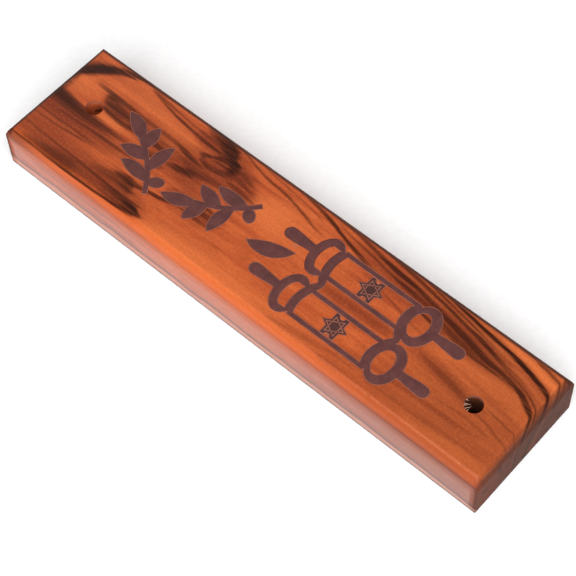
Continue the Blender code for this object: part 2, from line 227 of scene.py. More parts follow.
DARK_BANDS = [
    # Left edge and its blob.
    [(60, -12.8, 0.3, 0.8), (40, -12.9, 0.35, 0.9), (31, -12.7, 0.4, 0.9), (27, -12.2, 0.6, 0.9),
     (24.5, -11.9, 0.3, 0)],
    [(54, -12.0, 0.6, 0), (50, -11.8, 1.2, 0.5), (45, -11.6, 1.5, 0.65), (41, -11.3, 1.4, 0.55),
     (37, -11.4, 0.9, 0.25), (33, -11.4, 1.2, 0.5), (29, -11.3, 1.5, 0.75),
     (25.8, -11.2, 1.3, 1.0), (24.6, -11.4, 0.7, 0.9), (23.2, -11.5, 0.2, 0)],
    [(58, -9.0, 0.25, 0.3), (50, -9.3, 0.35, 0.4), (42, -9.6, 0.4, 0.5), (36, -9.9, 0.5, 0.6),
     (31, -10.1, 0.45, 0.7), (27, -10.0, 0.45, 0.8), (24.6, -9.9, 0.2, 0)],
    # The dark patch at the upper twig's foot.
    [(40, -8.6, 0.4, 0), (36, -8.3, 1.0, 0.5), (32, -7.6, 1.5, 0.75), (29.8, -7.6, 1.7, 0.85),
     (28.6, -8.2, 0.8, 0.5), (27.2, -8.4, 0.3, 0)],
    [(34, -6.6, 0.3, 0), (31, -6.7, 0.8, 0.7), (28.5, -6.6, 0.5, 0.8), (26, -6.2, 0.4, 0.85),
     (23, -5.7, 0.4, 0.85), (20, -5.2, 0.35, 0.6), (17, -4.9, 0.2, 0)],
    [(58, -6.5, 0.25, 0.45), (52, -6.4, 0.3, 0.5), (47, -6.0, 0.3, 0.6), (43, -5.6, 0.3, 0.5),
     (38, -5.3, 0.2, 0)],
    [(58, -5.2, 0.2, 0.4), (50, -5.1, 0.25, 0.5), (44, -4.9, 0.25, 0.4), (39, -4.7, 0.2, 0)],
    [(53, -3.4, 0.2, 0), (48, -3.2, 0.35, 0.5), (43, -3.0, 0.4, 0.6), (38, -2.9, 0.35, 0.55),
     (32, -2.8, 0.2, 0)],
    # The straight band beside the top hole.
    [(60, -0.2, 1.9, 0.9), (55, -0.5, 1.4, 0.95), (50, -0.9, 1.15, 0.9), (46, -1.2, 0.9, 0.8),
     (42, -1.1, 0.65, 0.7), (36, -0.8, 0.4, 0)],
    [(60, -2.0, 0.5, 0.4), (52, -2.1, 0.5, 0.5), (45, -2.0, 0.4, 0.4), (39, -1.9, 0.2, 0)],
    [(58, 0.6, 0.3, 0.3), (53, 0.5, 0.4, 0.5), (50, 0.1, 0.3, 0.4), (46, -0.2, 0.2, 0.3),
     (42, -0.2, 0.2, 0)],
    # The arch at the top right. Its part along the top edge, and the line it runs on down the right
    # edge, are painted shade on the far chamfers.
    [(60, 3.0, 7.0, 0.8), (57.2, 3.0, 6.2, 0.8), (56.2, 3.2, 4.8, 0.65), (54.8, 3.4, 2.5, 0)],
    [(57.8, 4.0, 1.6, 0), (56.4, 5.9, 2.6, 0.9), (54.7, 7.5, 2.2, 1.0), (52.8, 8.9, 1.8, 1.0),
     (51, 10.0, 1.5, 1.0), (49, 11.0, 1.2, 0.95), (47, 11.8, 0.9, 0.9), (44, 12.4, 0.6, 0.8),
     (40, 12.4, 0.45, 0.6), (30, 12.3, 0.35, 0.5), (20, 12.4, 0.3, 0.5), (5, 12.4, 0.3, 0.5),
     (-15, 12.5, 0.35, 0.55), (-40, 12.6, 0.3, 0.6), (-60, 12.6, 0.3, 0.7)],
    # Inner lines of the arch.
    [(51.5, 6.0, 0.3, 0), (49, 5.9, 0.6, 0.65), (46, 5.8, 0.65, 0.8), (42, 5.6, 0.55, 0.75),
     (36, 5.5, 0.45, 0.6), (30, 5.3, 0.45, 0.6), (27, 4.8, 0.6, 0.85), (24.3, 4.4, 0.5, 0.7),
     (22, 4.2, 0.2, 0)],
    [(47.8, 4.8, 0.6, 0), (46.2, 4.3, 1.5, 0.8), (43.5, 3.7, 1.4, 0.8), (40, 3.5, 1.0, 0.65),
     (35, 3.5, 0.8, 0.4), (31, 3.5, 0.6, 0.3), (28, 3.6, 0.4, 0)],
    [(47, 3.0, 0.2, 0), (45.5, 2.3, 0.45, 0.8), (42, 1.9, 0.45, 0.85), (37, 2.2, 0.55, 0.85),
     (33, 2.4, 0.6, 0.85), (29.5, 2.3, 0.3, 0)],
    [(34, -0.4, 0.4, 0), (31.6, -0.2, 1.0, 0.85), (30, -0.4, 1.1, 0.85), (28, -0.8, 0.4, 0)],
    [(29, 0.6, 0.3, 0), (26.5, 1.0, 0.6, 0.75), (24, 1.6, 0.9, 0.85), (21.5, 2.0, 0.7, 0.6),
     (18, 2.2, 0.3, 0)],
    [(28, 3.2, 0.3, 0), (25, 3.2, 0.5, 0.5), (22, 3.0, 0.7, 0.5), (18, 3.0, 0.9, 0.5),
     (15, 3.2, 0.6, 0.3), (12.5, 3.4, 0.3, 0)],
    # Thin lines down the right edge.
    [(42, 11.6, 0.2, 0), (40, 11.2, 0.35, 0.6), (36, 10.3, 0.35, 0.7), (32, 9.6, 0.35, 0.75),
     (28, 9.1, 0.36, 0.8), (24, 8.9, 0.4, 0.8), (20, 9.0, 0.2, 0)],
    [(42, 12.0, 0.2, 0), (38, 11.3, 0.28, 0.5), (33, 10.7, 0.28, 0.5), (28, 10.3, 0.3, 0.55),
     (24, 10.2, 0.4, 0.5), (20, 10.2, 0.2, 0)],
    # The knot and the loops beside it.
    [(28, 12.6, 0.6, 0), (25.5, 12.2, 1.5, 0.7), (23, 11.7, 1.8, 0.9), (21, 10.8, 1.9, 1.0),
     (19.5, 10.0, 2.0, 1.0), (18.3, 8.8, 2.1, 1.0), (17.2, 7.4, 1.8, 0.85), (16, 6.6, 0.9, 0)],
    [(24.8, 6.5, 0.3, 0), (23.4, 6.7, 0.8, 0.7), (22, 7.6, 0.65, 0.8), (20, 8.3, 0.6, 0.8),
     (18, 8.4, 0.6, 0.6), (16.6, 8.2, 0.3, 0)],
    [(24.2, 6.0, 0.4, 0), (22.6, 5.3, 0.6, 0.7), (20.6, 5.2, 0.6, 0.6), (18.6, 5.7, 0.6, 0.65),
     (17, 6.4, 0.6, 0)],
    [(21.8, 6.5, 0.2, 0), (20.4, 6.9, 0.4, 0.5), (19, 7.0, 0.4, 0.5), (17.6, 6.8, 0.3, 0)],
    # Short fingers under both twigs.
    [(19, -5.0, 0.3, 0), (16.5, -5.0, 0.45, 0.6), (14, -5.1, 0.4, 0.5), (11.5, -5.2, 0.2, 0)],
    [(19, -3.6, 0.3, 0), (16.5, -3.5, 0.5, 0.65), (13.5, -3.3, 0.5, 0.6), (11, -3.2, 0.2, 0)],
    [(19, -2.0, 0.3, 0), (16.5, -2.0, 0.4, 0.6), (14, -2.1, 0.4, 0.5), (12.3, -2.2, 0.2, 0)],
    [(17, 4.9, 0.3, 0), (14.5, 4.7, 0.5, 0.5), (11.5, 4.4, 0.5, 0.45), (9, 4.0, 0.3, 0)],
    [(17, 6.4, 0.3, 0), (14.5, 6.3, 0.5, 0.5), (12, 5.8, 0.4, 0.4), (10.4, 5.4, 0.2, 0)],
    [(17.5, 8.0, 0.4, 0), (15.5, 7.9, 0.6, 0.5), (13.2, 7.3, 0.5, 0.45), (11.6, 6.9, 0.2, 0)],
    # Curved lines below the knot.
    [(22, 12.7, 0.2, 0), (18, 12.0, 0.32, 0.5), (14.5, 11.0, 0.32, 0.6), (10.5, 10.2, 0.32, 0.65),
     (7, 9.9, 0.34, 0.7), (3.5, 9.3, 0.36, 0.75), (0.5, 8.5, 0.36, 0.65), (-2.5, 7.6, 0.34, 0.45),
     (-6, 7.0, 0.2, 0)],
    [(15, 12.4, 0.2, 0), (10, 11.6, 0.22, 0.35), (5, 11.1, 0.24, 0.4), (0, 10.4, 0.24, 0.35),
     (-4, 9.4, 0.2, 0)],
    [(6, 12.6, 0.2, 0), (2, 12.0, 0.36, 0.7), (-2, 11.3, 0.44, 0.85), (-5.5, 10.4, 0.44, 0.9),
     (-9, 9.3, 0.44, 0.9), (-12, 8.5, 0.5, 0.85), (-15, 8.0, 0.5, 0.5), (-18, 7.9, 0.2, 0)],
    [(-2, 12.6, 0.2, 0), (-6, 12.2, 0.36, 0.6), (-11, 11.6, 0.4, 0.8), (-16, 10.9, 0.5, 0.85),
     (-20, 10.3, 0.6, 0.9), (-25, 9.9, 0.5, 0.85), (-30, 9.1, 0.6, 0.8), (-35, 8.1, 0.75, 0.8),
     (-40, 7.1, 0.8, 0.85), (-44, 6.3, 0.7, 0.85), (-48, 5.9, 0.6, 0.85), (-51, 5.3, 0.6, 0.9),
     (-54, 3.9, 0.8, 0.95), (-56, 2.6, 0.7, 0.95), (-58, 0.4, 1.0, 1.0)],
    [(-4, 11.8, 0.2, 0), (-9, 10.6, 0.24, 0.4), (-14, 9.9, 0.3, 0.6), (-19, 9.2, 0.32, 0.6),
     (-24, 8.7, 0.5, 0.75), (-28, 8.4, 0.5, 0.5), (-33, 7.2, 0.4, 0.6), (-38, 6.3, 0.4, 0.6),
     (-42, 5.7, 0.3, 0.5), (-47, 5.2, 0.25, 0)],
    [(-13, 12.8, 0.3, 0), (-17, 12.3, 0.4, 0.7), (-22, 11.7, 0.45, 0.8), (-27, 11.1, 0.4, 0.85),
     (-32, 10.4, 0.4, 0.8), (-37, 9.5, 0.4, 0.8), (-41, 8.8, 0.5, 0.85), (-45, 7.9, 0.4, 0.7),
     (-49, 7.3, 0.3, 0.4), (-53, 6.6, 0.3, 0)],
    [(-22, 12.9, 0.2, 0), (-26, 12.2, 0.3, 0.7), (-31, 11.4, 0.3, 0.75), (-36, 10.6, 0.3, 0.7),
     (-40, 9.8, 0.25, 0.5), (-44, 9.2, 0.2, 0)],
    [(-26, 12.9, 0.2, 0), (-31, 12.2, 0.35, 0.8), (-36, 11.5, 0.4, 0.95), (-41, 10.7, 0.45, 1.0),
     (-46, 10.1, 0.5, 1.0), (-51, 9.1, 0.55, 1.0), (-54, 8.3, 0.6, 1.0), (-56, 7.6, 0.6, 1.0),
     (-58, 6.4, 0.8, 1.0)],
    [(-41, 13.1, 0.2, 0), (-46, 12.4, 0.3, 0.6), (-50, 12.0, 0.3, 0.7), (-54, 11.4, 0.35, 0.7),
     (-58, 10.6, 0.4, 0.8)],
    [(-33, 6.6, 0.3, 0), (-36, 6.0, 0.45, 0.6), (-40, 5.4, 0.4, 0.7), (-44, 5.2, 0.3, 0.7),
     (-48, 5.1, 0.25, 0.5), (-51, 4.7, 0.2, 0)],
    [(-43, 8.2, 0.2, 0), (-47, 7.0, 0.3, 0.5), (-51, 6.3, 0.3, 0.5), (-54, 5.2, 0.3, 0.6),
     (-58, 2.6, 0.4, 0.7)],
    # Middle of the lower part.
    [(-48, -3.0, 0.2, 0), (-51, -3.5, 0.3, 0.35), (-54.5, -4.4, 0.3, 0.3), (-58, -5.4, 0.3, 0.2)],
    [(-49, -1.0, 0.2, 0), (-52, -1.4, 0.25, 0.35), (-58, -2.2, 0.3, 0.3)],
    [(-16, 6.0, 0.2, 0), (-20, 5.4, 0.3, 0.35), (-24, 4.6, 0.3, 0.35), (-28, 3.6, 0.35, 0.35),
     (-34, 3.0, 0.3, 0)],
    [(-26, 6.9, 0.2, 0), (-29, 6.4, 0.35, 0.75), (-32, 5.9, 0.35, 0.6), (-35, 5.6, 0.2, 0)],
    [(-33, 0.4, 0.3, 0), (-37, -0.6, 0.6, 0.3), (-42, -1.4, 0.8, 0.35), (-45, -2.0, 0.8, 0.3),
     (-48, -2.4, 0.4, 0)],
]

RED_BANDS = [
    [(60, -3.2, 3.4, 0.85), (50, -3.4, 3.2, 0.85), (44, -3.4, 2.8, 0.75), (38, -3.2, 2.0, 0.6),
     (32, -2.8, 1.2, 0.3), (27, -2.6, 0.8, 0)],
    [(60, -9.4, 4.2, 0.45), (50, -9.6, 4.2, 0.55), (42, -10.0, 3.8, 0.65), (34, -10.0, 3.6, 0.6),
     (28, -9.6, 3.4, 0.5), (24, -10.5, 1.6, 0)],
    [(48, 3.6, 1.6, 0), (44, 3.6, 2.4, 0.6), (36, 3.6, 2.6, 0.6), (28, 2.6, 4.0, 0.6),
     (22, 3.0, 5.0, 0.75), (17, 5.0, 4.6, 0.7), (13, 5.4, 3.8, 0.6), (10.5, 4.4, 2.6, 0.5),
     (8, 3.4, 1.0, 0)],
    [(28, 10.2, 2.4, 0), (24, 9.8, 3.4, 0.7), (20, 9.2, 3.6, 0.7), (16, 8.4, 2.8, 0.6),
     (12.5, 7.4, 1.6, 0)],
    [(24, -3.4, 1.0, 0), (18, -3.4, 3.0, 0.85), (14, -3.6, 2.6, 0.75), (10.4, -3.8, 1.4, 0)],
    [(-10, 9.6, 2.0, 0), (-18, 9.4, 3.0, 0.6), (-28, 8.8, 3.4, 0.8), (-40, 7.6, 3.4, 0.8),
     (-50, 7.0, 3.0, 0.5), (-60, 4.0, 3.4, 0.5)],
    [(-30, 0.6, 1.0, 0), (-35, -0.2, 1.8, 0.5), (-41, -1.0, 2.0, 0.6), (-45, -1.8, 1.8, 0.5),
     (-50, -2.2, 1.2, 0)],
    [(-22, -10.0, 2.0, 0), (-32, -8.0, 5.0, 0.3), (-42, -7.0, 6.0, 0.35), (-52, -6.0, 7.0, 0.35),
     (-60, -5.0, 7.5, 0.5)],
    [(-11, -0.8, 1.0, 0), (-15, -0.8, 1.6, 0.6), (-24, -0.6, 1.7, 0.65), (-28, -0.6, 1.2, 0)],
    [(-20, -12.2, 0.6, 0), (-23, -11.8, 1.0, 0.3), (-26, -11.6, 0.8, 0.2), (-30, -11.6, 0.6, 0)],
    # Short reddish streaks down the lower left.
    [(-8, -11.8, 0.3, 0), (-14, -11.2, 0.8, 0.45), (-21, -10.4, 0.6, 0.45), (-27, -10.2, 0.3, 0)],
    [(-22, -7.7, 0.3, 0), (-31, -7.6, 0.6, 0.4), (-42, -7.2, 0.6, 0.5), (-52, -6.8, 0.4, 0)],
    [(-29, -10.5, 0.3, 0), (-36, -10.2, 0.7, 0.35), (-47, -9.8, 0.6, 0.4), (-55, -9.4, 0.3, 0)],
    [(-41, -5.2, 0.3, 0), (-46, -5.0, 0.5, 0.45), (-53, -5.2, 0.3, 0)],
    [(-37, 2.2, 0.3, 0), (-43, 1.6, 0.6, 0.3), (-50, 0.6, 0.8, 0.35), (-56, -0.6, 0.4, 0)],
]

# Pale bands: the broad ones down the left edge and across the middle are painted sheen, the others
# are pale grain.
PALE_AND_SHEEN_BANDS = [
    [(56, 3.6, 2.0, 0), (53, 4.4, 3.4, 0.5), (50, 5.4, 4.0, 0.3), (45, 8.8, 2.6, 0.4),
     (38, 8.6, 2.2, 0.5), (30, 7.4, 1.8, 0.45), (24, 7.2, 1.2, 0)],
    [(46.5, 0.8, 0.7, 0), (44, 0.8, 1.1, 0.8), (40, 0.7, 0.9, 0.5), (36, 0.9, 0.6, 0)],
    [(24, -13.0, 1.5, 0), (19, -12.4, 3.2, 0.8), (8, -12.0, 3.8, 0.8), (-6, -12.0, 4.0, 0.6),
     (-20, -12.2, 3.2, 0.3), (-34, -12.6, 2.0, 0)],
    [(11, 4.0, 2.0, 0), (6, 4.4, 4.4, 0.9), (0, 4.6, 5.4, 0.6), (-8, 4.0, 5.4, 0.3),
     (-16, 2.0, 4.0, 0)],
    [(-46, 8.0, 0.3, 0), (-49, 7.9, 0.5, 0.7), (-52, 7.2, 0.6, 0.9), (-55, 6.3, 0.6, 0.7),
     (-58, 5.4, 0.5, 0)],
    [(-42, 11.6, 0.3, 0), (-46, 11.2, 0.6, 0.8), (-50, 10.8, 0.8, 1.0), (-54, 9.9, 0.9, 1.0),
     (-58, 9.4, 0.7, 0.6)],
    [(-24, 10.8, 0.2, 0), (-29, 10.2, 0.3, 0.8), (-36, 10.0, 0.3, 0.8), (-42, 9.6, 0.35, 0.8),
     (-48, 8.9, 0.3, 0)],
]


def band(graph, across, along, rows, core):
    """The strength of one band of grain, painted shade or painted sheen. Its edges fade over the
    part outside its core.
    """
    table = []
    for y, x, half_width, strength in rows:
        table.append((0.5 + y / SPAN_Y, 0.5 + x / SPAN_X, half_width / SPAN_WIDTH, strength))
    table.sort()
    centre, half_width, strength = graph.curves(along / SPAN_Y + 0.5, table)
    distance = graph.absolute(across - (centre - 0.5) * SPAN_X)
    reach = distance / (half_width * SPAN_WIDTH + 0.001)
    return graph.ramp(reach, core, 1.35, 1.0, 0.0) * strength


def together(strengths):
    """Bands laid over each other: 1 where any is full, and no sum above 1."""
    clear = 1.0
    for strength in strengths:
        clear = (1.0 - strength) * clear
    return 1.0 - clear


def drawn_figure(graph, across, bent, fibre, fringe):
    """The dark, red and light bands of the front face, each as a strength. Some dark bands are
    painted shade on the far chamfers, and some light bands are painted sheen.
    """
    y, z = graph.y, graph.z
    whole = graph.noise(across * 2.4 + 3.0, y * 0.05, z * 0.8, 2.0)
    split = graph.larger(graph.ramp(whole, 0.34, 0.56, 0.75, 1.0), graph.ramp(y, 44.0, 52.0) * 0.97)
    calm = graph.ramp(y, -48.0, -38.0, 0.2, 1.0) * graph.ramp(y, 45.0, 50.0, 1.0, 0.3)
    ragged = y + (fibre * 4.0 + fringe * 2.0) * calm
    dark = together([band(graph, bent, ragged, rows, 0.4) for rows in DARK_BANDS]) * split
    red = together([band(graph, bent, y + fibre * 6.0, rows, 0.1) for rows in RED_BANDS])
    light = together([band(graph, bent, y + fibre * 5.0, rows, 0.1) for rows in PALE_AND_SHEEN_BANDS])
    return dark, red, light


def deep_figure(graph, across):
    """Broad bands from noise, for the sides, the ends and the inside."""
    y, z = graph.y, graph.z
    drift = graph.noise(across * 0.16 + 7.0, y * 0.012, z * 0.35, 2.0)
    rings = graph.math("SINE", (across + drift * 16.0) * 1.25)
    below = graph.ramp(TOP - z, 1.2, 3.0)
    return graph.ramp(rings, 0.35, 0.95) * graph.ramp(drift, 0.46, 0.58) * below * 0.8


def olive_wood(name, polished):
    """Olive wood: varnished on the block's outside, or raw in its holes, pockets and cavity."""
    graph = Graph(name)
    x, y, z = graph.x, graph.y, graph.z
    depth = TOP - z
    # The rings lean outwards on both sides of the block's left third.
    lean = graph.ramp(x, -10.0, 1.0, -0.3, 1.0)
    across = x + depth * 2.3 / (1.0 + depth * 0.22) * lean

    sway = graph.noise(across * 0.10, y * 0.035, z * 0.1 + 3.1, 1.0) - 0.5
    fibre = graph.noise(across * 1.1, y * 0.07, z * 0.4, 3.0, 0.55) - 0.5
    fringe = graph.noise(across * 3.4, y * 0.13, z * 1.2, 3.0, 0.6) - 0.5
    bent = across + sway * 0.8 + fibre * 0.8 + fringe * 0.55

    dark = red = light = 0.0
    deep = deep_figure(graph, across)
    if polished:
        dark, red, light = drawn_figure(graph, across, bent, fibre, fringe)
        deep = deep * graph.ramp(y, -57.0, -56.0, 1.0, 0.35)

    streak = graph.noise(bent * 1.5, y * 0.05, z * 0.8, 3.0, 0.5)
    mottle = graph.noise(across * 0.7 + fibre, y * 0.22, z * 0.6, 4.0, 0.68)
    hair = graph.noise(across * 6.5, y * 0.16, z * 3.0, 3.0, 0.6)
    pores = graph.ramp(graph.noise(across * 9.0, y * 0.55, z * 6.0, 1.0), 0.66, 0.76)
    broad = graph.noise(bent * 0.42 + 4.0, y * 0.016, z * 0.3, 2.0)
    speck = graph.noise(x * 2.4, y * 1.9, z * 2.0, 3.0, 0.7)

    tone = graph.mix(graph.ramp(streak, 0.3, 0.72), colour(172, 76, 38), colour(190, 90, 46))
    tone = graph.mix(graph.ramp(mottle, 0.48, 0.72) * 0.5, tone, colour(142, 64, 30))
    tone = graph.mix(graph.ramp(mottle, 0.48, 0.28) * 0.4, tone, colour(208, 108, 58))
    tone = graph.mix(graph.ramp(broad, 0.5, 0.68) * 0.4, tone, colour(138, 54, 28))
    # The lower half is browner.
    tone = graph.mix(graph.ramp(y, -20.0, -46.0) * 0.4, tone, colour(176, 94, 48))
    # The pale bands lay pale grain and painted sheen over the wood.
    tone = graph.mix(light * 0.75, tone, colour(218, 114, 60))
    tone = graph.mix(red * 0.95, tone, colour(104, 38, 20))
    tone = graph.mix(graph.ramp(speck, 0.5, 0.72) * 0.35, tone, colour(122, 52, 26))
    tone = graph.mix(graph.ramp(speck, 0.48, 0.28) * 0.25, tone, colour(222, 124, 74))
    # The upper part of the left side and its chamfer are a warmer orange.
    warm = graph.ramp(z, 5.5, 8.5) * graph.ramp(x, -12.2, -12.7)
    tone = graph.mix(warm * 0.6, tone, colour(196, 92, 42))
    patchy = graph.ramp(graph.noise(across * 0.5, y * 0.1, z + 9.0, 2.0), 0.35, 0.65, 0.4, 1.0)
    lines = (graph.ramp(hair, 0.42, 0.75) * 0.16 + pores * 0.2) * patchy
    tone = graph.mix(lines, tone, colour(92, 38, 18))
    density = graph.larger(dark, deep)
    tone = graph.mix(density, tone, colour(46, 16, 5))

    height = streak * 0.5 + hair * 0.5 - pores * 0.8 - density * 0.3
    normal = graph.bump(height, 0.25, 0.00006)
    if polished:
        return varnished(graph, tone, graph.ramp(hair, 0.3, 0.7, 0.30, 0.42), normal)
    return bare(graph, tone, graph.ramp(hair, 0.3, 0.7, 0.6, 0.8), normal)


def varnished(graph, tone, rough, normal):
    """The block's outside under a clear coat: darker ends and upper left edge, painted shade on the
    far chamfers, the near end and the foot, and a painted floor reflection low on the sides.
    """
    x, y, z = graph.x, graph.y, graph.z
    wide, long = graph.absolute(x), graph.absolute(y)
    # Painted shade darkens the chamfers at the top end and the right side, which are also duller
    # and rougher.
    far_edge = graph.larger(graph.ramp(x, 11.75, 12.3), graph.ramp(y, 55.75, 56.3))
    painted_far_shade = far_edge * graph.ramp(z, 9.4, 9.8)
    tone = graph.mix(painted_far_shade * 0.8, tone, colour(54, 28, 18))
    # End grain drinks the varnish, so both ends are darker and duller.
    end = graph.ramp(long, 56.4, 57.3)
    tone = graph.mix(end * 0.75, tone, colour(54, 30, 23))
    # Painted shade darkens the near end's chamfer, more towards the right.
    near_end_shade = graph.ramp(y, -55.9, -56.5) * graph.ramp(x, -9.0, 9.0, 0.2, 0.6)
    tone = graph.mix(near_end_shade, tone, colour(60, 28, 15))
    # The upper left side and its chamfer are darker towards both ends.
    upper_left_edge = graph.ramp(z, 7.0, 9.0) * graph.ramp(x, -12.2, -12.7)
    tone = graph.mix(upper_left_edge * graph.ramp(y, 44.0, 57.0, 0.0, 0.6), tone, colour(84, 38, 22))
    tone = graph.mix(upper_left_edge * graph.ramp(y, -10.0, -50.0, 0.0, 0.45), tone, colour(110, 48, 28))
    side = graph.ramp(wide, 13.2, 13.45)
    tone = graph.mix(side * graph.ramp(y, -60.0, 20.0, 0.6, 0.15), tone, colour(84, 46, 38))
    # A dark line of grain runs along the sides, low down. Below it the sides are painted paler, a
    # painted reflection of the floor.
    drop = z - 2.5 - (graph.noise(y * 0.08, 3.0, 1.0, 2.0) - 0.5) * 2.6 - y * 0.004
    line = graph.ramp(graph.absolute(drop), 0.12, 0.4, 1.0, 0.0)
    tone = graph.mix(line * side * 0.85, tone, colour(56, 30, 28))
    above = graph.ramp(drop, 0.2, 1.8, 1.0, 0.0) * graph.ramp(drop, -0.2, 0.2)
    tone = graph.mix(above * side * 0.4, tone, colour(104, 56, 44))
    # Painted reflection of the floor, low on the sides.
    tone = graph.mix(graph.ramp(drop, -0.2, -0.7) * side * 0.5, tone, colour(190, 138, 118))
    # Painted contact shadow darkens the foot of the walls.
    outer = graph.larger(graph.ramp(wide, 12.9, 13.15), graph.ramp(long, 56.9, 57.15))
    painted_contact_shadow = graph.ramp(z, 0.3, 0.75, 1.0, 0.0) * outer
    tone = graph.mix(painted_contact_shadow * 0.95, tone, colour(30, 18, 16))

    chamfered = graph.ramp(wide, 11.6, 12.1) * graph.ramp(z, 5.5, 8.8, 0.0, 0.8)
    dull = graph.larger(chamfered, graph.ramp(long, 55.7, 56.3) * 0.97)
    gloss = (1.0 - painted_contact_shadow * 0.9) * (1.0 - painted_far_shade * 0.95) * (1.0 - dull)
    rough = rough + graph.larger(end, painted_far_shade) * 0.35
    return graph.surface(Base_Color=tone, Roughness=rough, Normal=normal,
                         Coat_Weight=gloss * 0.6, Coat_Roughness=0.2, Specular_IOR_Level=0.15)


def bare(graph, tone, rough, normal):
    """The cut faces inside: dark in the lower nail hole, painted shade over drill-burnt wood, and
    pale with residue in the pockets.
    """
    x, y, z = graph.x, graph.y, graph.z
    hole_x, hole_y = LOWER_HOLE
    away = graph.math("SQRT", (x - hole_x) * (x - hole_x) + (y - hole_y) * (y - hole_y))
    # Painted shade down the lower nail hole, over wood burnt by the drill.
    tone = graph.mix(graph.ramp(away, 1.78, 1.95, 1.0, 0.0) * 0.85, tone, colour(44, 20, 12))
    pocket = graph.ramp(z, 10.2, 10.35) * graph.ramp(z, 10.97, 10.99, 1.0, 0.0)
    tone = graph.mix(pocket * 0.7, tone, colour(150, 92, 76))
    return graph.surface(Base_Color=tone, Roughness=rough, Normal=normal, Specular_IOR_Level=0.3)


def cover_wood():
    graph = Graph("cover_wood")
    x, y, z = graph.x, graph.y, graph.z
    drift = graph.noise(x * 0.09 + 2.0, y * 0.010 + 5.0, z * 0.2, 2.0)
    rings = graph.math("SINE", (x + drift * 22.0 + z * 2.0) * 1.6)
    fine = graph.noise(x * 2.2, y * 0.05, z * 1.5, 4.0, 0.6)
    hair = graph.noise(x * 7.0, y * 0.2, z * 3.0, 3.0, 0.6)
    pores = graph.ramp(graph.noise(x * 9.0, y * 0.5, z * 6.0, 1.0), 0.66, 0.76)
    base = graph.mix(graph.ramp(fine, 0.3, 0.7), colour(198, 112, 62), colour(222, 150, 92))
    base = graph.mix(graph.ramp(rings, 0.1, 0.95) * 0.55, base, colour(142, 72, 36))
    darkest = graph.ramp(rings, 0.75, 1.0) * graph.ramp(drift, 0.46, 0.6)
    base = graph.mix(darkest * 0.8, base, colour(78, 38, 18))
    base = graph.mix(graph.ramp(hair, 0.45, 0.75) * 0.2 + pores * 0.2, base, colour(104, 54, 28))
    normal = graph.bump(fine * 0.4 + hair * 0.6 - pores, 0.4, 0.00008)
    return graph.surface(Base_Color=base, Roughness=graph.ramp(hair, 0.3, 0.7, 0.42, 0.55),
                         Normal=normal, Coat_Weight=0.1, Coat_Roughness=0.3)


def filler_material(name, deep, pale, speck):
    graph = Graph(name)
    x, y, z = graph.x, graph.y, graph.z
    cloud = graph.noise(x * 0.5, y * 0.5, z, 3.0, 0.6)
    grit = graph.noise(x * 6.0, y * 3.0, z * 6.0, 3.0, 0.65)
    tone = graph.mix(graph.ramp(cloud, 0.3, 0.7), deep, pale)
    tone = graph.mix(graph.ramp(grit, 0.35, 0.8) * 0.35, tone, speck)
    return graph.surface(Base_Color=tone, Roughness=graph.ramp(grit, 0.3, 0.7, 0.55, 0.75),
                         Normal=graph.bump(grit, 0.35, 0.00005), Specular_IOR_Level=0.3)


def parchment_material():
    graph = Graph("parchment")
    x, y, z = graph.x, graph.y, graph.z
    cloud = graph.noise(x * 0.25, y * 0.12, z * 0.25, 4.0, 0.6)
    fibre = graph.noise(x * 5.0, y * 3.0, z * 5.0, 4.0, 0.65)
    tone = graph.mix(graph.ramp(cloud, 0.3, 0.7), colour(224, 203, 158), colour(240, 226, 190))
    tone = graph.mix(graph.ramp(fibre, 0.5, 0.85) * 0.4, tone, colour(196, 168, 118))
    return graph.surface(Base_Color=tone, Roughness=0.62, Normal=graph.bump(fibre, 0.4, 0.00006),
                         Sheen_Weight=0.1)


# ---------------------------------------------------------------- pieces

def link_object(name, mesh):
    piece = bpy.data.objects.new(name, mesh)
    bpy.context.scene.collection.objects.link(piece)
    return piece


def welded_copy(node):
    """The CAD node's mesh as one welded shell."""
    shell = bmesh.new()
    shell.from_mesh(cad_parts[node].data)
    bmesh.ops.remove_doubles(shell, verts=shell.verts, dist=WELD_DISTANCE * MM)
    return shell


def outline_edges(shell, chosen):
    """The block's edges whose two corners, as x, y and z in millimetres, pass a test."""
    edges = []
    for edge in shell.edges:
        if len(edge.link_faces) != 2 or edge.calc_face_angle() < EDGE_ANGLE:
            continue
        corners = [(abs(vert.co.x) / MM, abs(vert.co.y) / MM, vert.co.z / MM)
                   for vert in edge.verts]
        if chosen(*corners):
            edges.append(edge)
    return edges


def on_wall(corner):
    """Whether a corner lies on the block's side or end faces."""
    x, y, z = corner
    return x > HALF_WIDTH - NEAR or y > HALF_LENGTH - NEAR


def within(corners, width):
    """Whether corners all lie in a border of the block, seen from the front."""
    return all(x > HALF_WIDTH - width - NEAR or y > HALF_LENGTH - width - NEAR
               for x, y, z in corners)


def is_shoulder(first, second):
    """The lower edge of the chamfer."""
    low, high = sorted((first[2], second[2]))
    level = CHANNEL_TOP < low and high < TOP - NEAR and high - low < NEAR
    return level and on_wall(first) and on_wall(second)


def is_crease(first, second):
    """The front face's edge and the slanting corners of the chamfer."""
    return max(first[2], second[2]) >= TOP - NEAR and within((first, second), CHAMFER)


def is_foot(first, second):
    """The edge of the back face, all the way round."""
    return max(first[2], second[2]) < NEAR and within((first, second), SHOULDER_WIDTH)


